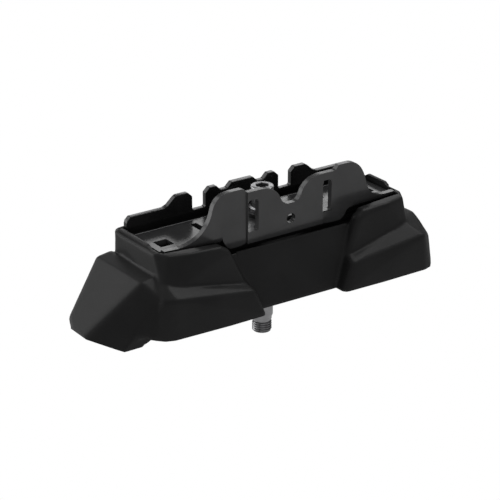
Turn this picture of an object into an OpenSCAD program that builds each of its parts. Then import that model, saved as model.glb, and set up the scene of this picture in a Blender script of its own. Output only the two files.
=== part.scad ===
// Roof bar foot: a moulded pad that carries a folded steel bracket, with a captive bolt through both.
// X runs along the foot (the sloping nose is at -X), Y across it and Z up.
// The origin is on the bolt's axis, at the top of its threaded end.

/* [Foot pad] */
// Height of the pad's underside above the top of the bolt's thread.
underside = 24.4; // [20:0.2:30]
// Distance from the bolt's axis to each skirt end.
skirt_x = 84; // [82:0.5:90]
// Distance from the middle to each side at the underside.
skirt_y = 39.6; // [38.4:0.2:43]
// How much wider each side is at the plain end than at the bolt, and narrower at the nose.
flare = 1.7; // [0:0.1:2.4]
// Height of the rim above the underside.
rim_z = 35.7; // [35:0.1:37]
// Distance from the bolt's axis to the outside of each end rim.
rim_x = 73.8; // [72.8:0.2:76]
// Distance from the middle to the side of the collar at the rim.
collar_y = 28; // [27:0.1:29]
// How much lower the shoulders are at the rear side.
rear_drop = 5; // [2:0.2:6]
// Length of the nose beyond the bolt's axis.
nose_x = 110.9; // [106:0.5:116]
// How much shorter the plain end is than the end with the nose.
tail_cut = 3.4; // [2.4:0.1:4]
// How far the nose reaches below the underside.
nose_drop = 3.3; // [1.5:0.1:5]
// Distance from the bolt's axis to each block's inner face at the underside.
block_x = 21.5; // [20:0.5:23]
// Radius of the pad's outer edges.
edge_r = 1.6; // [1:0.1:2]
// Radius of the blocks' corners beside the bolt.
inner_r = 2.8; // [1.6:0.1:3.4]
// Height of the raised lip on each end rim.
lip_h = 1.5; // [0.8:0.1:2.5]
// Height of the pocket's floor above the underside.
pocket_z = 28; // [27:0.1:28.5]

/* [Folded sheets] */
// Thickness of both folded sheets.
sheet = 3; // [2.6:0.1:3.2]
// Inside bend radius of both sheets.
bend_r = 2; // [1:0.1:2.5]
// How far both sheets reach from the bolt's axis towards the nose.
sheet_x = 68; // [66:0.5:68.5]
// Distance from the bolt's axis to the outer face of the tall front wall.
front_y = 17; // [16.5:0.1:17.5]
// Distance from the bolt's axis to the outer face of the toothed wall.
rear_y = 20; // [19.5:0.1:20.5]
// Distance from the bolt's axis to the rear edge of the bracket's floor.
floor_y = 12.1; // [11:0.1:12.5]
// Height of the ears above the bracket's floor.
ear_h = 23.2; // [21.6:0.2:26]
// Height of the two humps between the ears.
hump_h = 21.2; // [19:0.2:21.4]
// Height of the floor of the notch between the humps.
dip_h = 10.2; // [8:0.2:13]
// Where the middle of the front wall stands along the foot.
dip_x = 4.6; // [3:0.2:6]
// How far the middle plate stands in front of the ears.
joggle = 1; // [0.5:0.1:1.2]
// Width of each upright window.
window_w = 6; // [5:0.2:6.4]
// Height of each upright window.
window_h = 16.3; // [13:0.2:16.6]
// Radius of the round hole in the middle plate.
hole_r = 2.5; // [1.8:0.1:2.5]
// Height of the tooth tops above the bracket's floor.
tooth_h = 12.4; // [11:0.2:15]
// Height of the shallow notches beside the wide middle tooth.
shallow_h = 9.8; // [8:0.2:10.2]
// Height of the deep notches.
deep_h = 2.7; // [1.6:0.1:4]
// Height of the plain ends of the toothed wall.
end_h = 7.3; // [6:0.1:8]
// Side of the square holes in the bracket's floor.
square_w = 7.4; // [6:0.2:8]

/* [Bolt] */
// Diameter of the thread.
thread_d = 10; // [9:0.1:10.4]
// Length of the thread below the origin.
thread_l = 5.5; // [4:0.5:12]
// Diameter of the smooth shank.
shank_d = 11.2; // [10.8:0.1:11.6]
// Diameter of the head.
head_d = 11.6; // [11.6:0.1:13]
// Height of the head above its flange.
head_h = 10.9; // [8:0.1:12]
// Diameter of the flange under the head.
flange_d = 13.4; // [13.2:0.2:15]
// Thickness of the flange under the head.
flange_t = 2; // [1.5:0.1:3]
// Width across the flats of the hexagonal socket.
socket_af = 6; // [5:0.5:7]
// Depth of the hexagonal socket.
socket_depth = 6; // [4:0.5:7]
// Radial running clearance of the shank in the washer and the sleeve.
running = 0.08; // [0.02:0.01:0.1]
// Outside diameter of the sleeve in the pad.
sleeve_d = 16; // [15:0.5:20]
// Outside diameter of the washer.
washer_d = 17; // [16:0.5:22]
// Thickness of the washer.
washer_t = 2; // [1.5:0.1:2.5]
// Outside diameter of the retaining ring.
ring_d = 15; // [13.5:0.5:15.5]
// Thickness of the retaining ring.
ring_t = 1.6; // [1.2:0.1:2.4]
// How far the bolt can lift before the retaining ring meets the sleeve.
lift = 8; // [5:0.5:9]

/* [Hidden] */
eps = 0.02;
corner_fn = 16;
flange_z = pocket_z;
floor_z = flange_z + sheet;
top_z = floor_z + sheet;
bend_out = bend_r + sheet;
sheet_hole_r = shank_d / 2 + 0.5;
pocket_x = rim_x - 3;
pocket_end = rim_x - 2.8;
sheet_end = rim_x - 3.4;
nose_top = 24.2;
nose_lip = 0.8;
nose_y = 20.2;
nose_low_y = 29;
block_mid_x = 50;
inner_lean = 0.455;
slot_x = rim_x - 4;
pocket_front = front_y + 2.8;
pocket_rear = rear_y + 0.3;
groove_front = front_y - 3.5;
tab_z = floor_z - 2.4;
plate_left = dip_x - 25.8;
plate_right = dip_x + 19.8;
window_left = dip_x - 19.4 - window_w;
window_right = dip_x + 19.4;
hole_z = top_z + 2.1;
head_top = top_z + washer_t + flange_t + head_h;
shoulder_z = 2.5 - underside;
thread_top_z = -underside;
thread_end_z = -underside - thread_l;
ring_z = -lift - ring_t - 0.2;
ring_in_r = shank_d / 2 - 0.7;

// Curves.
function curve(a, b, c, d, n) = [
  for (i = [0 : n])
    let (t = i / n, u = 1 - t)
      a * (u * u * u) + b * (3 * u * u * t) + c * (3 * u * t * t) + d * (t * t * t)
];

// One rounded corner of a moulded block.
module corner(x, y, z) {
  translate([x, y, z])
    sphere(r = edge_r, $fn = corner_fn);
}

// One corner that stays sharp along the underside.
module foot_corner(x, y, z) {
  translate([x, y, z])
    cylinder(r = edge_r, h = 1, $fn = corner_fn);
}

// A sheet section, drawn with its X along the row's Y, laid along the row's X.
module along_x(x0, x1) {
  translate([x0, 0, 0])
    rotate([90, 0, 90])
      linear_extrude(height = x1 - x0)
        children();
}

// A side outline, drawn with its Y along the row's Z, laid from y0 to y1.
module across_y(y0, y1) {
  translate([0, y1, 0])
    rotate([90, 0, 0])
      linear_extrude(height = y1 - y0)
        children();
}

// Half width of the pad at a place along it, from its half width at the bolt.
function wide(x, y) = y + flare * x / skirt_x;

// Radius of the rounded corner at an outer point, and its middle for the end s and the side m.
function radius_at(x) = x > block_mid_x ? edge_r : inner_r;
function middle_of(s, m, p) =
  let (r = radius_at(p[0]))
  [
    s * (p[0] > block_mid_x ? p[0] - r : p[0] + r),
    m * (wide(s * p[0], p[1]) - r),
    p[2] - r
  ];

// Where a block's inner face stands at a height, as it leans away from the bolt.
function inner_x(z) = block_x + inner_lean * z;

// A rounded corner at an outer point [along, half width, height] of the end s, on the side m.
module outer_corner(s, m, p) {
  translate(middle_of(s, m, p))
    sphere(r = radius_at(p[0]), $fn = corner_fn);
}

// The same for a point of the underside's outline.
module outer_foot(s, m, p) {
  r = radius_at(p[0]);
  translate(middle_of(s, m, [p[0], p[1], r]))
    cylinder(r = r, h = 1, $fn = corner_fn);
}

// The corners of a collar's front side at the rim and low down inside the skirt.
function front_collar(s) = concat(
  [
    [inner_x(rim_z) + 2.2, collar_y + 0.4, rim_z - 0.5],
    [inner_x(rim_z - 2.4), collar_y + 1, rim_z - 2.4],
    [rim_x - 14, collar_y - 0.9, rim_z - 0.3],
    [inner_x(13), collar_y + 3.2, 13]
  ],
  s < 0
  ? [
    [rim_x - 3.8, collar_y - 3.6, rim_z - 0.2],
    [rim_x, collar_y - 9.2, rim_z],
    [rim_x + 2.2, collar_y + 3, 20],
    [rim_x + 2.4, collar_y - 5.6, 23]
  ]
  : [
    [rim_x - 4.4, collar_y - 3.2, rim_z - 0.2],
    [rim_x - 0.9, collar_y - 9.6, rim_z],
    [rim_x - 3.8, collar_y + 0.6, 21],
    [rim_x + 1, collar_y - 9.4, 22]
  ]
);

// The same for its rear side.
function rear_collar(s) = [
  [inner_x(rim_z) + 2.2, collar_y + 0.4, rim_z - 0.5],
  [inner_x(rim_z - 2.4), collar_y + 1, rim_z - 2.4],
  [rim_x - 4.2, collar_y - 5, rim_z - 0.2],
  [rim_x - 0.8 * s, collar_y - 8.4, rim_z],
  [inner_x(10), collar_y + 3, 10],
  [rim_x - 4, collar_y + 0.6, 18],
  [rim_x + 1, collar_y - 8, 22]
];

// The collar block over one end of the pad.
module collar_block(s) {
  hull() {
    for (p = front_collar(s)) {
      outer_corner(s, -1, p);
    }
    for (p = rear_collar(s)) {
      outer_corner(s, 1, p);
    }
  }
}

// The upper edge of a skirt's front side and the collar's foot line above it.
function front_skirt(s) = concat(
  [
    [inner_x(13.5), skirt_y - 2.3, 13.5],
    [inner_x(16.2), skirt_y - 9.4, 16.2]
  ],
  s < 0
  ? [
    [skirt_x - 10, skirt_y - 1.8, 19.4],
    [skirt_x - 5, skirt_y - 4.2, 19.2],
    [skirt_x - 3.8, skirt_y - 9, 19.8],
    [skirt_x - 2.2, skirt_y - 19.2, 23.6],
    [skirt_x - 9, skirt_y - 9.2, 23.6],
    [skirt_x - 6, skirt_y - 19.2, 25.6]
  ]
  : [
    [skirt_x - 10, skirt_y - 1.9, 18.6],
    [skirt_x - 5.6, skirt_y - 4.7, 17.4],
    [skirt_x - 4.4, skirt_y - 10, 18.9],
    [skirt_x - 4.4, skirt_y - 14.4, 22.5],
    [skirt_x - 4.4, skirt_y - 18, 24.3],
    [skirt_x - 15, skirt_y - 10.6, 23.6],
    [skirt_x - 9, skirt_y - 24, 25.4]
  ]
);

// The same for its rear side.
function rear_skirt() = [
  [inner_x(13.5 - rear_drop), skirt_y - 2.3, 13.5 - rear_drop],
  [inner_x(16.2 - rear_drop), skirt_y - 9.4, 16.2 - rear_drop],
  [skirt_x - 15, skirt_y - 3, 18.6 - rear_drop],
  [skirt_x - 9, skirt_y - 7.4, 18.6 - rear_drop],
  [skirt_x - 6, skirt_y - 13.4, 17.4],
  [skirt_x - 5, skirt_y - 19.4, 23.6],
  [skirt_x - 12, skirt_y - 9.6, 24 - rear_drop]
];

// The outline of one skirt along the underside, from the inner end outwards.
function skirt_foot(s) =
  let (end_x = s > 0 ? skirt_x - tail_cut : skirt_x)
  [
    [s > 0 ? block_x : block_x + 3, skirt_y + 0.3],
    [2 * block_x, skirt_y + 0.6],
    [end_x - 7, skirt_y],
    [end_x - 3, skirt_y - 1.4],
    [end_x - 0.8, skirt_y - 3.7],
    [end_x + 2, skirt_y - 7.2]
  ];

// The wider skirt block round one end of the pad.
module skirt_block(s) {
  hull() {
    for (m = [-1, 1]) {
      for (p = skirt_foot(s)) {
        outer_foot(s, m, p);
      }
    }
    for (p = front_skirt(s)) {
      outer_corner(s, -1, p);
    }
    for (p = rear_skirt()) {
      outer_corner(s, 1, p);
    }
  }
}

// The lower middle of the pad, between the two blocks.
module middle_block() {
  e = edge_r;
  reach = skirt_x - 46;
  hull() {
    for (s = [-1, 1]) {
      for (m = [-1, 1]) {
        foot_corner(s * reach, m * (wide(s * reach, skirt_y - 6.8) - e), 0);
        corner(s * reach, m * (wide(s * reach, skirt_y - 15.6) - e), 28.3 - e);
      }
    }
  }
}

// A ball that touches the nose's top face, given where it touches.
module nose_ball(x, y, z, r) {
  n = nose_slope();
  translate([x - r * n[0], y, z - r * n[2]])
    sphere(r = r, $fn = 28);
}

// The direction that the nose's top face looks in.
function nose_slope() =
  let (dx = nose_x - skirt_x, dz = nose_top - nose_lip, l = sqrt(dx * dx + dz * dz))
  [-dz / l, 0, dx / l];

// The nose: a flat top face that narrows downwards, with a wide soft edge to its front face.
module nose_upper() {
  e = edge_r;
  hull() {
    nose_ball(-skirt_x, 1.2 - nose_y, nose_top, 3);
    nose_ball(-skirt_x, nose_y - 1.6, nose_top, 2);
    nose_ball(-nose_x + 2, -10.5, nose_lip + 1.75, 8);
    nose_ball(-nose_x + 3.5, 6, nose_lip + 3, 1.2);
    nose_ball(-nose_x + 1, -0.4, nose_lip + 0.9, 1);
    corner(-(skirt_x - 8), 1.2 - nose_y, 25.8 - e);
    corner(-(skirt_x - 8), nose_y - 1.6, 25.8 - e);
    corner(-(skirt_x - 3.8 - e), -(skirt_y - 9.8 - e), 20 - e);
    foot_corner(-(skirt_x + 1.4 - e), -(skirt_y - 6.2 - e), 0);
    foot_corner(-(skirt_x + 10.4 - e), -(skirt_y - 11 - e), 1.6);
    foot_corner(-(skirt_x + 1 - e), skirt_y - 12 - e, 0);
  }
}

// The narrower part of the nose that reaches below the underside.
module nose_lower() {
  e = edge_r;
  hull() {
    nose_ball(-nose_x + 2, -10.5, nose_lip + 1.75, 8);
    nose_ball(-nose_x + 1, -0.4, nose_lip + 0.9, 1);
    foot_corner(-(skirt_x + 14.8 - e), -(nose_low_y - e), -nose_drop);
    foot_corner(-(skirt_x + 9 - e), -(nose_low_y - e), 3);
    foot_corner(-(skirt_x + 14.8 - e), 4, -nose_drop);
    for (y = [-nose_low_y, 10]) {
      translate([-(skirt_x + 5.4), y, 2.6 - nose_drop])
        rotate([-90, 0, 0])
          cylinder(r = 2.6, h = 1, $fn = 20);
    }
  }
}

module nose_block() {
  difference() {
    union() {
      difference() {
        nose_upper();
        across_y(-60, -nose_low_y + eps)
          polygon([
            [-nose_x - 20, 1.6], [-nose_x - 20, -30], [-skirt_x + 2, -30],
            [-skirt_x + 2, -0.4], [-skirt_x - 3.4, 1.6]
          ]);
      }
      nose_lower();
    }
    across_y(-60, 60)
      polygon([
        [-nose_x - 20, nose_lip + 6], [-nose_x - 20, -30], [-skirt_x + 9, -30],
        [-skirt_x + 9, -nose_drop], [-skirt_x - 14.5, -nose_drop], [-nose_x, nose_lip]
      ]);
  }
}

// The raised lip along part of one end rim, from y0 to y1, with sloping ends.
module end_lip(x, y0, y1) {
  translate([x, 0, rim_z])
    rotate([90, 0, 90])
      linear_extrude(height = 1.8)
        polygon([
          [y0, -1], [y0, 0.2], [y0 + 2.4, lip_h], [y1 - 2, lip_h], [y1, 0.2], [y1, -1]
        ]);
}

module foot_pad() {
  color([0.07, 0.07, 0.075])
    translate([0, 0, underside])
      difference() {
        union() {
          collar_block(-1);
          collar_block(1);
          skirt_block(-1);
          skirt_block(1);
          middle_block();
          nose_block();
          end_lip(-pocket_x - 1.8, -10.5, 18);
          end_lip(pocket_end, -9.6, 8);
        }
        translate([-pocket_x, -groove_front, pocket_z])
          cube([pocket_x + pocket_end, groove_front + pocket_rear, 20]);
        translate([-pocket_x, -front_y - 0.2, pocket_z + 1])
          cube([pocket_x + pocket_end, groove_front, 20]);
        translate([0, 0, tab_z - 3.6])
          linear_extrude(height = 24)
            polygon([
              for (x = [-slot_x, 31 - slot_x, slot_x - 31, slot_x])
                [x, -wide(x, pocket_front + (slot_x - abs(x)) / 9.7)],
              [slot_x, -groove_front + eps], [-slot_x, -groove_front + eps]
            ]);
        translate([0, 0, -5])
          cylinder(d = sleeve_d, h = 50, $fn = 96);
      }
}

// The outline of the bracket's front wall, seen from the side, with the floor's top at 0.
function wall_points() = concat(
  [[-sheet_x, -sheet - 1], [-sheet_x, 1.6]],
  curve([-60, 1.2], [-50, 1.6], [-43.6, 6.5], [-41.3, ear_h - 9.2], 9),
  curve([-41.3, ear_h - 9.2], [-40.3, ear_h - 4.6], [-38.5, ear_h], [-30, ear_h], 9),
  [[plate_left - 2.6, ear_h], [plate_left - 1, ear_h - 0.7], [plate_left, hump_h - 0.2]],
  [[plate_left, 2], [plate_right + 0.4, 2], [plate_right + 0.4, hump_h - 0.5]],
  [[plate_right + 7, hump_h - 0.5], [plate_right + 8.4, hump_h], [plate_right + 9.9, ear_h]],
  curve([40, ear_h], [46.5, ear_h], [49.8, ear_h - 5.2], [51.3, ear_h - 10.7], 9),
  curve([51.3, ear_h - 10.7], [52.6, 7], [54.5, 1.8], [64, 1.4], 9),
  [[sheet_end, 1.5], [sheet_end, -sheet - 1]]
);

// The outline of the middle plate, with the floor's top at 0.
function plate_points() =
  let (
    a = curve([dip_x - 17.6, hump_h], [dip_x - 11.1, hump_h - 0.6],
              [dip_x - 8.1, hump_h - 3], [dip_x - 6.5, hump_h - 6.6], 8),
    b = curve([dip_x - 6.5, hump_h - 6.6], [dip_x - 5.5, hump_h - 9.2],
              [dip_x - 4.1, dip_h], [dip_x - 2, dip_h], 8)
  )
  concat(
    [[plate_left, tab_z - top_z], [plate_left, hump_h]],
    a, [for (i = [1 : 8]) b[i]],
    [for (i = [0 : 7]) [2 * dip_x - b[8 - i][0], b[8 - i][1]]],
    [for (i = [0 : 8]) [2 * dip_x - a[8 - i][0], a[8 - i][1]]],
    [[plate_right, hump_h], [plate_right, tab_z - top_z]]
  );

// One upright window with rounded upper corners.
module window_outline(x) {
  r = 1.8;
  translate([x, 0.5])
    square([window_w, window_h - r]);
  translate([x + r, 0.5])
    square([window_w - 2 * r, window_h]);
  translate([x + r, 0.5 + window_h - r])
    circle(r = r, $fn = 48);
  translate([x + window_w - r, 0.5 + window_h - r])
    circle(r = r, $fn = 48);
}

// The folded section of the bracket, drawn across the foot.
module bracket_section() {
  by = -front_y + bend_out;
  translate([by, floor_z])
    square([floor_y - by, sheet]);
  translate([-front_y, floor_z + bend_out])
    square([sheet, ear_h + 10]);
  intersection() {
    translate([by, floor_z + bend_out])
      difference() {
        circle(r = bend_out, $fn = 96);
        circle(r = bend_r, $fn = 96);
      }
    translate([-front_y, floor_z])
      square([bend_out + eps, bend_out + eps]);
  }
}

module clamp_bracket() {
  color([0.16, 0.16, 0.17])
    translate([0, 0, underside])
      difference() {
        union() {
          intersection() {
            along_x(-sheet_x, sheet_end)
              bracket_section();
            across_y(-front_y - 5, floor_y + 5)
              translate([0, top_z])
                polygon(wall_points());
          }
          across_y(-front_y - joggle, -front_y - joggle + sheet)
            translate([0, top_z])
              polygon(plate_points());
        }
        across_y(-front_y - 5, -front_y + bend_out + 1)
          translate([0, top_z])
            union() {
              window_outline(window_left);
              window_outline(window_right);
            }
        translate([dip_x, -front_y - joggle + sheet + 1, hole_z])
          rotate([90, 0, 0])
            cylinder(r = hole_r, h = sheet + 2, $fn = 64);
        translate([dip_x - 12, -front_y - joggle + sheet, floor_z - 1])
          cube([24, 4.4, 9]);
        translate([0, 0, floor_z - 1])
          cylinder(r = sheet_hole_r, h = sheet + 2, $fn = 96);
        for (s = [-1, 1]) {
          translate([s * 60.6 - square_w / 2, -8.2, floor_z - 1])
            cube([square_w, square_w, sheet + 2]);
          translate([s * 35.8 - 1.8, -1.2, floor_z - 1])
            cube([3.6, 9, sheet + 2]);
        }
      }
}

// The toothed outline for one side of the rear wall, with the bracket floor's top at 0.
function tooth_half() = [
  [6.5, tooth_h], [9.2, shallow_h], [13, shallow_h], [15.6, tooth_h], [19.6, tooth_h],
  [22.2, tooth_h - 2.4], [22.2, deep_h + 0.6], [22.8, deep_h], [29.3, deep_h], [29.9, deep_h + 0.6],
  [29.9, tooth_h - 2.4], [32.4, tooth_h], [38.9, tooth_h], [40.3, tooth_h - 0.8],
  [44.2, end_h + 0.9], [46.6, end_h], [sheet_x - 2.4, end_h],
  [sheet_x - 0.6, end_h - 1.6], [sheet_x, end_h - 3.6], [sheet_x, -20]
];

// The folded section of the toothed plate, drawn across the foot.
module plate_section() {
  by = rear_y - bend_out;
  translate([-front_y + 4.6, flange_z])
    square([by + front_y - 4.6, sheet]);
  translate([rear_y - sheet, flange_z + bend_out])
    square([sheet, tooth_h + 10]);
  intersection() {
    translate([by, flange_z + bend_out])
      difference() {
        circle(r = bend_out, $fn = 96);
        circle(r = bend_r, $fn = 96);
      }
    translate([by - eps, flange_z])
      square([bend_out + eps, bend_out + eps]);
  }
}

module toothed_plate() {
  half = tooth_half();
  n = len(half);
  color([0.13, 0.13, 0.14])
    translate([0, 0, underside])
      difference() {
        intersection() {
          along_x(-sheet_x, sheet_x)
            plate_section();
          across_y(-front_y - 5, rear_y + 5)
            translate([0, top_z])
              polygon(concat(
                [for (i = [0 : n - 1]) [-half[n - 1 - i][0], half[n - 1 - i][1]]],
                half
              ));
        }
        translate([0, 0, flange_z - 1])
          cylinder(r = sheet_hole_r, h = sheet + 2, $fn = 96);
      }
}

module sleeve() {
  color([0.72, 0.73, 0.74])
    translate([0, 0, underside])
      difference() {
        cylinder(d = sleeve_d, h = pocket_z, $fn = 96);
        translate([0, 0, -1])
          cylinder(r = shank_d / 2 + running, h = pocket_z + 2, $fn = 96);
      }
}

module washer() {
  color([0.75, 0.76, 0.77])
    translate([0, 0, underside + top_z])
      difference() {
        cylinder(d = washer_d, h = washer_t, $fn = 96);
        translate([0, 0, -1])
          cylinder(r = shank_d / 2 + running, h = washer_t + 2, $fn = 96);
      }
}

module bolt() {
  r = thread_d / 2;
  s = shank_d / 2;
  c = (shank_d - thread_d) / 2 + 0.4;
  base = top_z + washer_t;
  color([0.78, 0.79, 0.8])
    translate([0, 0, underside])
      difference() {
        rotate_extrude($fn = 96)
          polygon([
            [0, thread_end_z], [r - 0.8, thread_end_z], [r, thread_end_z + 0.8],
            [r, thread_top_z], [r - 0.7, thread_top_z + 0.1], [r - 0.7, thread_top_z + 1.1],
            [r, thread_top_z + 1.2], [r, shoulder_z], [s - 0.4, shoulder_z + 0.3],
            [s, shoulder_z + 0.3 + c], [s, ring_z], [ring_in_r, ring_z],
            [ring_in_r, ring_z + ring_t], [s, ring_z + ring_t], [s, base],
            [flange_d / 2, base], [flange_d / 2, base + flange_t], [head_d / 2, base + flange_t],
            [head_d / 2, head_top - 0.6], [head_d / 2 - 0.6, head_top], [0, head_top]
          ]);
        translate([0, 0, head_top - socket_depth])
          cylinder(d = socket_af / cos(30), h = socket_depth + 1, $fn = 6);
      }
}

module retaining_ring() {
  color([0.12, 0.12, 0.12])
    translate([0, 0, underside + ring_z])
      difference() {
        cylinder(d = ring_d, h = ring_t, $fn = 96);
        translate([0, 0, -1])
          cylinder(r = ring_in_r, h = ring_t + 2, $fn = 96);
      }
}

foot_pad();
clamp_bracket();
toothed_plate();
sleeve();
washer();
bolt();
retaining_ring();
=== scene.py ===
import math
import bmesh
import bpy
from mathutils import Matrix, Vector


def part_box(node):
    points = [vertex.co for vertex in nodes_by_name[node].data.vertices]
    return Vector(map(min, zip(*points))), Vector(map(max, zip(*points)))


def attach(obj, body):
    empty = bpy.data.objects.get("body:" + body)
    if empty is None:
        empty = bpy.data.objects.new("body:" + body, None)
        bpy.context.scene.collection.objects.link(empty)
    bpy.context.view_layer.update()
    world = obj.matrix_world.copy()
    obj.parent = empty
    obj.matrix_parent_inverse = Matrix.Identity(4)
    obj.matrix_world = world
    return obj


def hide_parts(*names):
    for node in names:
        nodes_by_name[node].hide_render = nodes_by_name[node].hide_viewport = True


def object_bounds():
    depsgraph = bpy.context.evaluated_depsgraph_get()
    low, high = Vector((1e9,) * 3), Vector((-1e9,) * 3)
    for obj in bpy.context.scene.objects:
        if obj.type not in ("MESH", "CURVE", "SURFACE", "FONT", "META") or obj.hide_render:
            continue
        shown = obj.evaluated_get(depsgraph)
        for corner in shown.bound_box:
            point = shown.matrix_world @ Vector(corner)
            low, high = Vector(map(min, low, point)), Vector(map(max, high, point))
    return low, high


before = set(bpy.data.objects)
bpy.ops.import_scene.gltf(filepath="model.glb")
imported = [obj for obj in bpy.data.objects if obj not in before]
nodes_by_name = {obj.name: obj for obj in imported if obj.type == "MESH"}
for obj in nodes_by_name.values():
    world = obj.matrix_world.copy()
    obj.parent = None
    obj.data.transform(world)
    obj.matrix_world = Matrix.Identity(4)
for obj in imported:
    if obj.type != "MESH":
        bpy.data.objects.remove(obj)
low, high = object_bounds()

MM = 0.001
# Height of the pad's underside in the shared frame, in mm. Outlines below give heights above it.
UNDERSIDE = 24.4
SCENE = bpy.context.scene

# The camera, worked out from the long straight edges of the photo.
CAMERA_AT = Vector((-0.4784, -0.6753, 0.3922))
LOOK_AT = Vector((-0.00493, 0.00344, 0.0384))
LENS = 129.7
SENSOR = 36.0

# The bolt's sizes, repeated from the part.
THREAD_R = 5.0 * MM
THREAD_PITCH = 1.25 * MM
THREAD_DEPTH = 0.62 * MM
SHANK_R = 5.6 * MM
HEAD_R = 5.8 * MM
FLANGE_R = 6.7 * MM
FLANGE_T = 2.0 * MM
FLANGE_Z = (UNDERSIDE + 36.0) * MM
GROOVE_Z = (UNDERSIDE - 9.8) * MM
GROOVE_W = 1.6 * MM
GROOVE_DEPTH = 0.7 * MM
SOCKET_HALF = 3.0 * MM
SOCKET_DEPTH = 6.0 * MM
TIP_R = 0.4 * MM
RING_SEGMENTS = 96

# Edge finish: width of the bevel, and the angles in degrees from which edges are cut and stay sharp.
SHEET_EDGE = (0.4 * MM, 35, 35)
MOULDED_EDGE = (0.3 * MM, 42, 38)
TURNED_EDGE = (0.2 * MM, 35, 35)
RING_EDGE = (0.3 * MM, 35, 35)
BEVEL_SEGMENTS = 2
PLANAR_DEG = 0.5

# Even mesh of the foot pad: depth of its grid and rounds of softening.
PAD_GRID = 8
PAD_ROUNDS = 9


# Shader helpers

def new_material(name):
    m = bpy.data.materials.new(name)
    m.use_nodes = True
    m.node_tree.nodes.clear()
    return m, m.node_tree.nodes, m.node_tree.links


def principled(nodes, links, **values):
    shader = nodes.new("ShaderNodeBsdfPrincipled")
    out = nodes.new("ShaderNodeOutputMaterial")
    links.new(shader.outputs["BSDF"], out.inputs["Surface"])
    for key, value in values.items():
        shader.inputs[key.replace("_", " ")].default_value = value
    return shader


def noise(nodes, links, scale, detail=2.0, rough=0.5, stretch=None):
    coords = nodes.new("ShaderNodeTexCoord")
    source = coords.outputs["Object"]
    if stretch:
        mapping = nodes.new("ShaderNodeMapping")
        mapping.inputs["Scale"].default_value = stretch
        links.new(source, mapping.inputs["Vector"])
        source = mapping.outputs["Vector"]
    n = nodes.new("ShaderNodeTexNoise")
    n.inputs["Scale"].default_value = scale
    n.inputs["Detail"].default_value = detail
    n.inputs["Roughness"].default_value = rough
    links.new(source, n.inputs["Vector"])
    return n.outputs["Fac"]


def ramp(nodes, links, source, stops):
    r = nodes.new("ShaderNodeValToRGB")
    r.color_ramp.elements[0].position = stops[0][0]
    r.color_ramp.elements[0].color = stops[0][1]
    r.color_ramp.elements[1].position = stops[-1][0]
    r.color_ramp.elements[1].color = stops[-1][1]
    for position, colour in stops[1:-1]:
        element = r.color_ramp.elements.new(position)
        element.color = colour
    links.new(source, r.inputs["Fac"])
    return r.outputs["Color"]


def spread(nodes, links, source, low_value, high_value):
    m = nodes.new("ShaderNodeMapRange")
    m.inputs["From Min"].default_value = 0.3
    m.inputs["From Max"].default_value = 0.7
    m.inputs["To Min"].default_value = low_value
    m.inputs["To Max"].default_value = high_value
    links.new(source, m.inputs["Value"])
    return m.outputs["Result"]


def bump(nodes, links, source, distance, strength, under=None):
    b = nodes.new("ShaderNodeBump")
    b.inputs["Distance"].default_value = distance
    b.inputs["Strength"].default_value = strength
    links.new(source, b.inputs["Height"])
    if under:
        links.new(under, b.inputs["Normal"])
    return b.outputs["Normal"]


def grey(v):
    """A grey with a trace of blue."""
    return (v, v, v * 1.02, 1.0)


# Materials

def pad_plastic():
    m, nodes, links = new_material("pad_moulded_black")
    shader = principled(nodes, links, Specular_IOR_Level=0.23, Coat_Weight=0.12, Coat_Roughness=0.16)
    cloud = noise(nodes, links, 45, 3.0)
    links.new(ramp(nodes, links, cloud, [(0.3, grey(0.006)), (0.7, grey(0.009))]),
              shader.inputs["Base Color"])
    grain = noise(nodes, links, 2600, 3.0, 0.6)
    links.new(spread(nodes, links, grain, 0.5, 0.64), shader.inputs["Roughness"])
    wave = noise(nodes, links, 60, 1.0)
    soft = bump(nodes, links, wave, 0.3 * MM, 0.12)
    links.new(bump(nodes, links, grain, 0.05 * MM, 0.35, soft), shader.inputs["Normal"])
    return m


def coated_steel(name, dark, light):
    m, nodes, links = new_material(name)
    shader = principled(nodes, links, Specular_IOR_Level=0.5)
    cloud = noise(nodes, links, 70, 4.0)
    links.new(ramp(nodes, links, cloud, [(0.3, grey(dark)), (0.7, grey(light))]),
              shader.inputs["Base Color"])
    peel = noise(nodes, links, 1400, 2.0)
    links.new(spread(nodes, links, noise(nodes, links, 160, 3.0), 0.18, 0.26),
              shader.inputs["Roughness"])
    links.new(bump(nodes, links, peel, 0.03 * MM, 0.3), shader.inputs["Normal"])
    return m


def turned_steel(name, value, rough_low, rough_high):
    m, nodes, links = new_material(name)
    shader = principled(nodes, links, Metallic=1.0)
    cloud = noise(nodes, links, 220, 3.0)
    links.new(ramp(nodes, links, cloud, [(0.3, grey(value * 0.82)), (0.7, grey(value))]),
              shader.inputs["Base Color"])
    rings = noise(nodes, links, 1.0, 2.0, 0.6, (60.0, 60.0, 7000.0))
    links.new(spread(nodes, links, rings, rough_low, rough_high), shader.inputs["Roughness"])
    links.new(bump(nodes, links, rings, 0.02 * MM, 0.35), shader.inputs["Normal"])
    return m


def ring_rubber():
    m, nodes, links = new_material("ring_rubber")
    shader = principled(nodes, links, Specular_IOR_Level=0.35)
    cloud = noise(nodes, links, 300, 3.0)
    links.new(ramp(nodes, links, cloud, [(0.3, grey(0.012)), (0.7, grey(0.022))]),
              shader.inputs["Base Color"])
    grain = noise(nodes, links, 3000, 2.0)
    links.new(spread(nodes, links, grain, 0.6, 0.75), shader.inputs["Roughness"])
    links.new(bump(nodes, links, grain, 0.04 * MM, 0.3), shader.inputs["Normal"])
    return m


def dress(obj, material):
    if not obj.material_slots:
        obj.data.materials.append(material)
    for s in obj.material_slots:
        s.material = material


# Shading and edges

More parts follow.
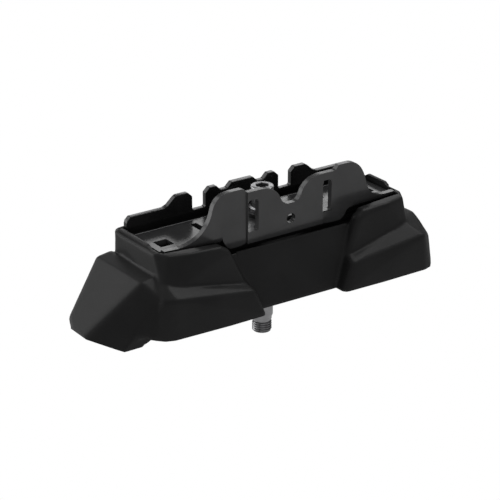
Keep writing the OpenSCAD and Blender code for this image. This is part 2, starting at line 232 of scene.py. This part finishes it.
def geometry_group(name):
    """An empty node group with a geometry going in and one coming out."""
    g = bpy.data.node_groups.new(name, "GeometryNodeTree")
    for way in ("INPUT", "OUTPUT"):
        g.interface.new_socket("Geometry", in_out=way, socket_type="NodeSocketGeometry")
    return g, g.nodes.new("NodeGroupInput"), g.nodes.new("NodeGroupOutput")


def smooth_group(angle_deg):
    """A node group that shades smooth across edges flatter than the angle."""
    g, first, last = geometry_group(f"smooth_{angle_deg}")
    faces = g.nodes.new("GeometryNodeSetShadeSmooth")
    faces.domain = "FACE"
    edges = g.nodes.new("GeometryNodeSetShadeSmooth")
    edges.domain = "EDGE"
    angle = g.nodes.new("GeometryNodeInputMeshEdgeAngle")
    flat = g.nodes.new("FunctionNodeCompare")
    flat.data_type = "FLOAT"
    flat.operation = "LESS_THAN"
    flat.inputs[1].default_value = math.radians(angle_deg)
    g.links.new(angle.outputs["Unsigned Angle"], flat.inputs[0])
    g.links.new(first.outputs[0], faces.inputs["Geometry"])
    g.links.new(faces.outputs["Geometry"], edges.inputs["Geometry"])
    g.links.new(flat.outputs["Result"], edges.inputs["Shade Smooth"])
    g.links.new(edges.outputs["Geometry"], last.inputs[0])
    return g


def finish_edges(obj, width, bevel_deg, smooth_deg):
    """Clean flat faces, a small bevel on the sharp edges, and smooth shading over the rest."""
    weld = obj.modifiers.new("weld", "WELD")
    weld.merge_threshold = 0.002 * MM
    flat = obj.modifiers.new("planar", "DECIMATE")
    flat.decimate_type = "DISSOLVE"
    flat.angle_limit = math.radians(PLANAR_DEG)
    cut = obj.modifiers.new("cut", "TRIANGULATE")
    cut.min_vertices = 5
    edge = obj.modifiers.new("edge", "BEVEL")
    edge.limit_method = "ANGLE"
    edge.angle_limit = math.radians(bevel_deg)
    edge.width = width
    edge.segments = BEVEL_SEGMENTS
    edge.use_clamp_overlap = True
    edge.miter_outer = "MITER_ARC"
    shade = obj.modifiers.new("shade", "NODES")
    shade.node_group = smooth_group(smooth_deg)
    blend = obj.modifiers.new("blend", "WEIGHTED_NORMAL")
    blend.mode = "FACE_AREA"
    blend.weight = 50
    blend.keep_sharp = True


# The softened moulding

def calculate(g, operation, *values):
    """A math node whose inputs are numbers or other nodes' results."""
    node = g.nodes.new("ShaderNodeMath")
    node.operation = operation
    for socket, value in zip(node.inputs, values):
        if isinstance(value, float):
            socket.default_value = value
        else:
            g.links.new(value, socket)
    return node.outputs[0]


def share_of(g, parts, limits):
    """The product of shares that follow the place.

    Each limit is (axis, from, to, share at from, share at to); |X| and |Y| stand for both sides.
    """
    share = None
    for axis, start, end, at_start, at_end in limits:
        away = parts.outputs[axis.strip("|")]
        if axis[0] == "|":
            away = calculate(g, "ABSOLUTE", away)
        step = g.nodes.new("ShaderNodeMapRange")
        step.inputs["From Min"].default_value = start
        step.inputs["From Max"].default_value = end
        step.inputs["To Min"].default_value = at_start
        step.inputs["To Max"].default_value = at_end
        g.links.new(away, step.inputs["Value"])
        part = step.outputs["Result"]
        share = part if share is None else calculate(g, "MULTIPLY", share, part)
    return share


def blur_group(rounds, limits, hollow):
    """A node group that evens out the surface by a share that is 0 in the hollow."""
    g, first, last = geometry_group("blur")
    at = g.nodes.new("GeometryNodeInputPosition")
    parts = g.nodes.new("ShaderNodeSeparateXYZ")
    g.links.new(at.outputs[0], parts.inputs[0])
    outside = calculate(g, "SUBTRACT", 1.0, share_of(g, parts, hollow))
    weight = calculate(g, "MULTIPLY", share_of(g, parts, limits), outside)
    blur = g.nodes.new("GeometryNodeBlurAttribute")
    blur.data_type = "FLOAT_VECTOR"
    blur.inputs["Iterations"].default_value = rounds
    g.links.new(weight, blur.inputs["Weight"])
    value = next(i for i in blur.inputs if i.enabled and i.type == "VECTOR")
    result = next(o for o in blur.outputs if o.enabled and o.type == "VECTOR")
    place = g.nodes.new("GeometryNodeSetPosition")
    g.links.new(at.outputs[0], value)
    g.links.new(first.outputs[0], place.inputs["Geometry"])
    g.links.new(result, place.inputs["Position"])
    g.links.new(place.outputs["Geometry"], last.inputs[0])
    return g


def height_limit(start, end, at_start, at_end):
    return ("Z", (UNDERSIDE + start) * MM, (UNDERSIDE + end) * MM, at_start, at_end)


def soften_moulding(obj):
    """Even quads with every edge and twist softened, as a moulding has them.

    The nose is softened most, the underside and the rim hardly, and the pocket not at all.
    """
    even = obj.modifiers.new("even", "REMESH")
    even.mode = "SHARP"
    even.octree_depth = PAD_GRID
    even.scale = 0.99
    even.sharpness = 1.0
    even.use_remove_disconnected = False
    even.use_smooth_shade = True
    soft = obj.modifiers.new("soft", "NODES")
    limits = [
        ("X", -92 * MM, -84 * MM, 1.0, 0.2),
        height_limit(0.5, 3.5, 0.0, 1.0),
        height_limit(33.6, 35.0, 1.0, 0.06),
    ]
    pocket = [
        ("|X|", 71.2 * MM, 72.4 * MM, 1.0, 0.0),
        ("|Y|", 21.0 * MM, 24.6 * MM, 1.0, 0.0),
        height_limit(20.0, 21.0, 0.0, 1.0),
    ]
    soft.node_group = blur_group(PAD_ROUNDS, limits, pocket)
    shade = obj.modifiers.new("shade", "NODES")
    shade.node_group = smooth_group(50)


# The bolt with its cut thread and hexagonal socket

def thread_radius(z, z_end):
    """The radius at a height of the thread, as a function of the angle."""
    def radius(t):
        phase = (z / THREAD_PITCH + t / (2 * math.pi)) % 1.0
        tooth = min(1.0, max(0.0, 1.25 - abs(phase - 0.5) * 3.0))
        near_end = min(1.0, (z - z_end) / (0.8 * MM) + 0.15)
        return THREAD_R - THREAD_DEPTH + THREAD_DEPTH * tooth * near_end
    return radius


def hexagon(grow=0.0):
    """The radius of the socket's hexagon, as a function of the angle."""
    def radius(t):
        part = (t % (math.pi / 3)) - math.pi / 6
        return SOCKET_HALF / math.cos(part) + grow
    return radius


def level(radius):
    return lambda t: radius


def bolt_rows(z_end, z_top):
    """Rows of (radius function, height), from the lower end up and down into the socket."""
    rows = [(level(TIP_R), z_end), (level(THREAD_R - 0.9 * MM), z_end)]
    steps = int(-z_end / (THREAD_PITCH / 8))
    margin = 0.05 * MM
    for i in range(steps + 1):
        z = z_end + margin + (-margin - z_end) * i / steps
        rows.append((thread_radius(z, z_end), z))
    neck = THREAD_R - 0.7 * MM
    groove = SHANK_R - GROOVE_DEPTH
    flange_top = FLANGE_Z + FLANGE_T
    plain = [
        (neck, 0.1 * MM), (neck, 1.1 * MM),
        (THREAD_R, 1.2 * MM), (THREAD_R, 2.5 * MM),
        (SHANK_R - 0.4 * MM, 2.8 * MM), (SHANK_R, 3.8 * MM),
        (SHANK_R, GROOVE_Z), (groove, GROOVE_Z),
        (groove, GROOVE_Z + GROOVE_W), (SHANK_R, GROOVE_Z + GROOVE_W),
        (SHANK_R, FLANGE_Z), (FLANGE_R - 0.2 * MM, FLANGE_Z), (FLANGE_R, FLANGE_Z + 0.2 * MM),
        (FLANGE_R, flange_top - 0.2 * MM), (FLANGE_R - 0.2 * MM, flange_top),
        (HEAD_R + 0.3 * MM, flange_top), (HEAD_R, flange_top + 0.3 * MM),
        (HEAD_R, z_top - 0.7 * MM), (HEAD_R - 0.2 * MM, z_top - 0.25 * MM),
        (HEAD_R - 0.7 * MM, z_top),
    ]
    rows += [(level(radius), z) for radius, z in plain]
    floor_z = z_top - SOCKET_DEPTH
    rows += [
        (hexagon(0.3 * MM), z_top), (hexagon(), z_top - 0.3 * MM),
        (hexagon(), floor_z), (level(TIP_R), floor_z - 0.8 * MM),
    ]
    return rows


def make_bolt():
    lo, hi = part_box("bolt")
    rows = bolt_rows(lo.z, hi.z)
    mesh = bpy.data.meshes.new("bolt_cut")
    b = bmesh.new()
    grid = []
    for radius, z in rows:
        line = []
        for i in range(RING_SEGMENTS):
            t = 2 * math.pi * i / RING_SEGMENTS
            line.append(b.verts.new((radius(t) * math.cos(t), radius(t) * math.sin(t), z)))
        grid.append(line)
    for a, c in zip(grid, grid[1:]):
        for i in range(RING_SEGMENTS):
            j = (i + 1) % RING_SEGMENTS
            b.faces.new((a[i], a[j], c[j], c[i]))
    b.faces.new(list(reversed(grid[0])))
    b.faces.new(grid[-1])
    b.normal_update()
    b.to_mesh(mesh)
    b.free()
    obj = bpy.data.objects.new("bolt_cut", mesh)
    SCENE.collection.objects.link(obj)
    shade = obj.modifiers.new("shade", "NODES")
    shade.node_group = smooth_group(32)
    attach(obj, "bolt")
    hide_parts("bolt")
    return obj


# Small forms that only the scene has

# How the two numbers of an outline and the place along the axis become a point.
PRISM_AXES = {
    "X": lambda a, b, t: (t, a, b),
    "Y": lambda a, b, t: (a, t, b),
    "Z": lambda a, b, t: (a, b, t),
}


def make_prism(name, outline, start, end, along="Y", lean=0.0):
    """A prism along one axis, from its outline across that axis, in mm above the underside.

    The outline moves sideways by lean for each unit along the axis, and is given for 0 on it.
    """
    place = PRISM_AXES[along]
    mesh = bpy.data.meshes.new(name)
    b = bmesh.new()

    def row(t):
        points = [place(a + lean * t, c, t) for a, c in outline]
        return [b.verts.new((x * MM, y * MM, (z + UNDERSIDE) * MM)) for x, y, z in points]

    near = row(start)
    far = row(end)
    b.faces.new(near)
    b.faces.new(list(reversed(far)))
    for i in range(len(outline)):
        j = (i + 1) % len(outline)
        b.faces.new((near[j], near[i], far[i], far[j]))
    bmesh.ops.recalc_face_normals(b, faces=b.faces)
    b.to_mesh(mesh)
    b.free()
    obj = bpy.data.objects.new(name, mesh)
    SCENE.collection.objects.link(obj)
    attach(obj, "foot")
    return obj


# The raised lips of the rim: name, place of the inner or outer side, and reach along Y.
LIPS = (("lip_left", -72.65, -10.5, 18.0), ("lip_right", 70.95, -9.6, 8.0))
LIP_WIDTH = 1.9
LIP_LOW, LIP_RIM, LIP_TOP = 34.4, 35.9, 37.25

# The wall round the pocket's rear left corner, seen from above, with its heights.
RIM_CORNER = [
    (-66.5, 20.4), (-70.9, 20.4), (-70.9, 17.4), (-73.6, 17.4),
    (-73.5, 18.8), (-72.0, 20.6), (-70.2, 21.6), (-66.5, 22.1),
]
RIM_CORNER_Z = (26.0, 35.45)

# The upper edge of the pad's middle wall, seen from the end, with its reach and lean along X.
MIDDLE_RIM = [
    (-26.1, 20.5), (-24.06, 27.05), (-23.8, 27.75), (-23.38, 28.2),
    (-22.3, 28.3), (-22.3, 24.6), (-23.6, 20.5),
]
MIDDLE_RIM_X = (-31.0, 34.5)
MIDDLE_RIM_LEAN = -0.0203

# The lobes of the bracket's front wall that hang below its floor beside the middle plate.
LEFT_FLAP = [
    (-21.3, 40.0), (-35.6, 40.0), (-35.6, 36.0), (-34.8, 33.0), (-33.6, 30.8), (-32.2, 29.0),
    (-30.4, 28.1), (-28.0, 28.0), (-24.0, 28.2), (-22.4, 28.6), (-21.6, 29.4), (-21.3, 30.6),
]
RIGHT_FLAP = [
    (30.4, 34.2), (24.4, 34.2), (24.4, 28.4), (26.0, 28.3), (28.4, 27.9), (32.4, 27.7), (35.4, 27.9),
    (37.2, 28.7), (38.6, 30.2), (39.6, 32.1), (41.2, 33.0), (44.0, 33.6), (44.0, 40.0), (30.4, 40.0),
]
FLAP_Y = (-17.04, -14.6)

# Near-black strips as painted shade for the shadowed gap at the step between the middle plate and
# the right ear, below and above the window.
STEPS = (("step_low", 28.6, 34.3), ("step_high", 51.0, 54.3))
STEP_X = (24.38, 24.9)
STEP_Y = (-17.1, -16.0)

# A thin light-grey strip as a painted highlight along the cut rear edge of the bracket's floor.
FLOOR_EDGE = [(-66.5, 33.75), (66.5, 33.75), (66.5, 34.05), (-66.5, 34.05)]
FLOOR_EDGE_Y = (11.9, 12.14)


# Stage

def make_floor():
    mesh = bpy.data.meshes.new("floor")
    size = 6.0
    z = low[2] - 0.045
    corners = [(-size, -size, z), (size, -size, z), (size, size, z), (-size, size, z)]
    mesh.from_pydata(corners, [], [(0, 1, 2, 3)])
    obj = bpy.data.objects.new("floor", mesh)
    SCENE.collection.objects.link(obj)
    m, nodes, links = new_material("floor_pale")
    diffuse = nodes.new("ShaderNodeBsdfDiffuse")
    diffuse.inputs["Color"].default_value = (0.8, 0.8, 0.8, 1)
    path = nodes.new("ShaderNodeLightPath")
    surface = diffuse.outputs[0]
    for ray, strength in (("Is Glossy Ray", 0.5), ("Is Camera Ray", 1.0)):
        glow = nodes.new("ShaderNodeEmission")
        glow.inputs["Color"].default_value = (1, 1, 1, 1)
        glow.inputs["Strength"].default_value = strength
        mix = nodes.new("ShaderNodeMixShader")
        links.new(path.outputs[ray], mix.inputs["Fac"])
        links.new(surface, mix.inputs[1])
        links.new(glow.outputs[0], mix.inputs[2])
        surface = mix.outputs[0]
    out = nodes.new("ShaderNodeOutputMaterial")
    links.new(surface, out.inputs["Surface"])
    mesh.materials.append(m)


def make_world():
    world = bpy.data.worlds.new("studio")
    SCENE.world = world
    world.use_nodes = True
    nodes = world.node_tree.nodes
    links = world.node_tree.links
    nodes.clear()
    out = nodes.new("ShaderNodeOutputWorld")
    soft = nodes.new("ShaderNodeBackground")
    soft.inputs["Color"].default_value = (1, 1, 1, 1)
    soft.inputs["Strength"].default_value = 0.25
    white = nodes.new("ShaderNodeBackground")
    white.inputs["Color"].default_value = (1, 1, 1, 1)
    white.inputs["Strength"].default_value = 1.0
    path = nodes.new("ShaderNodeLightPath")
    seen = nodes.new("ShaderNodeMath")
    seen.operation = "MAXIMUM"
    links.new(path.outputs["Is Camera Ray"], seen.inputs[0])
    links.new(path.outputs["Is Transmission Ray"], seen.inputs[1])
    mix = nodes.new("ShaderNodeMixShader")
    links.new(seen.outputs[0], mix.inputs["Fac"])
    links.new(soft.outputs[0], mix.inputs[1])
    links.new(white.outputs[0], mix.inputs[2])
    links.new(mix.outputs[0], out.inputs["Surface"])


def area_light(name, at, size, power, look=(0.0, 0.0, 0.03)):
    data = bpy.data.lights.new(name, "AREA")
    data.shape = "RECTANGLE"
    data.size = size[0]
    data.size_y = size[1]
    data.energy = power
    obj = bpy.data.objects.new(name, data)
    obj.location = at
    obj.rotation_euler = (Vector(look) - Vector(at)).to_track_quat("-Z", "Y").to_euler()
    SCENE.collection.objects.link(obj)
    return obj


def make_lights():
    area_light("left", (-1.05, 1.3, 0.3), (1.8, 0.7), 8)
    area_light("high", (-0.65, 1.0, 1.05), (1.1, 0.9), 4.6)
    area_light("back", (0.8, 1.25, 0.6), (1.1, 0.3), 2)
    area_light("top", (0.65, 0.15, 1.3), (0.9, 0.9), 6.5)
    fill = area_light("fill", (-0.5, -1.3, 0.3), (1.4, 0.7), 8)
    fill.visible_glossy = False


def make_camera():
    data = bpy.data.cameras.new("camera")
    data.lens = LENS
    data.sensor_width = SENSOR
    data.clip_start = 0.05
    obj = bpy.data.objects.new("camera", data)
    obj.location = CAMERA_AT
    obj.rotation_euler = (LOOK_AT - CAMERA_AT).to_track_quat("-Z", "Y").to_euler()
    SCENE.collection.objects.link(obj)
    SCENE.camera = obj


# Build

make_camera()
make_world()
make_lights()
make_floor()
SCENE.view_settings.view_transform = "Standard"

pad_black = pad_plastic()
dress(nodes_by_name["foot_pad"], pad_black)
for name, x, y0, y1 in LIPS:
    crown = [
        (y0, LIP_LOW), (y0, LIP_RIM), (y0 + 2.4, LIP_TOP),
        (y1 - 2.0, LIP_TOP), (y1, LIP_RIM), (y1, LIP_LOW),
    ]
    lip = make_prism(name, crown, x, x + LIP_WIDTH, "X")
    dress(lip, pad_black)
    finish_edges(lip, *MOULDED_EDGE)
corner = make_prism("rim_corner", RIM_CORNER, *RIM_CORNER_Z, "Z")
rim = make_prism("middle_rim", MIDDLE_RIM, *MIDDLE_RIM_X, "X", MIDDLE_RIM_LEAN)
for obj in (corner, rim):
    dress(obj, pad_black)
    finish_edges(obj, *MOULDED_EDGE)
soften_moulding(nodes_by_name["foot_pad"])

# A light-grey coat for the floor's rear edge strip: a painted highlight.
floor_edge_painted_highlight = coated_steel("floor_edge_painted_highlight", 0.25, 0.35)
# A near-black coat for the step strips: painted shade for the gap between the middle plate and the
# right ear.
step_gap_painted_shade = coated_steel("step_gap_painted_shade", 0.001, 0.002)
bracket_coat = coated_steel("bracket_coat", 0.028, 0.036)
dress(nodes_by_name["clamp_bracket"], bracket_coat)
finish_edges(nodes_by_name["clamp_bracket"], *SHEET_EDGE)
for name, outline in (("flap_left", LEFT_FLAP), ("flap_right", RIGHT_FLAP)):
    dress(make_prism(name, outline, *FLAP_Y), bracket_coat)
# Thin near-black strips in front of the right ear: painted shade for the gap at the step.
for name, z_low, z_high in STEPS:
    x0, x1 = STEP_X
    strip = [(x0, z_low), (x1, z_low), (x1, z_high), (x0, z_high)]
    dress(make_prism(name, strip, *STEP_Y), step_gap_painted_shade)
# The floor's rear edge strip carries the painted highlight.
dress(make_prism("floor_edge", FLOOR_EDGE, *FLOOR_EDGE_Y), floor_edge_painted_highlight)
# The toothed plate gets a far darker copy of the bracket's coat: painted shade for its shadowed face
# behind the bracket.
dress(nodes_by_name["toothed_plate"], coated_steel("plate_coat_painted_shade", 0.004, 0.007))
finish_edges(nodes_by_name["toothed_plate"], *SHEET_EDGE)

# Dark turned steel for the sleeve and the washer; on the washer the darkness is painted shade where
# it is seen through the bracket's window.
steel = turned_steel("dark_turned_steel_painted_shade", 0.1, 0.3, 0.45)
for name in ("sleeve", "washer"):
    dress(nodes_by_name[name], steel)
    finish_edges(nodes_by_name[name], *TURNED_EDGE)
bolt_steel = turned_steel("bolt_steel", 0.4, 0.24, 0.4)
dress(nodes_by_name["bolt"], bolt_steel)
dress(make_bolt(), bolt_steel)
dress(nodes_by_name["retaining_ring"], ring_rubber())
finish_edges(nodes_by_name["retaining_ring"], *RING_EDGE)
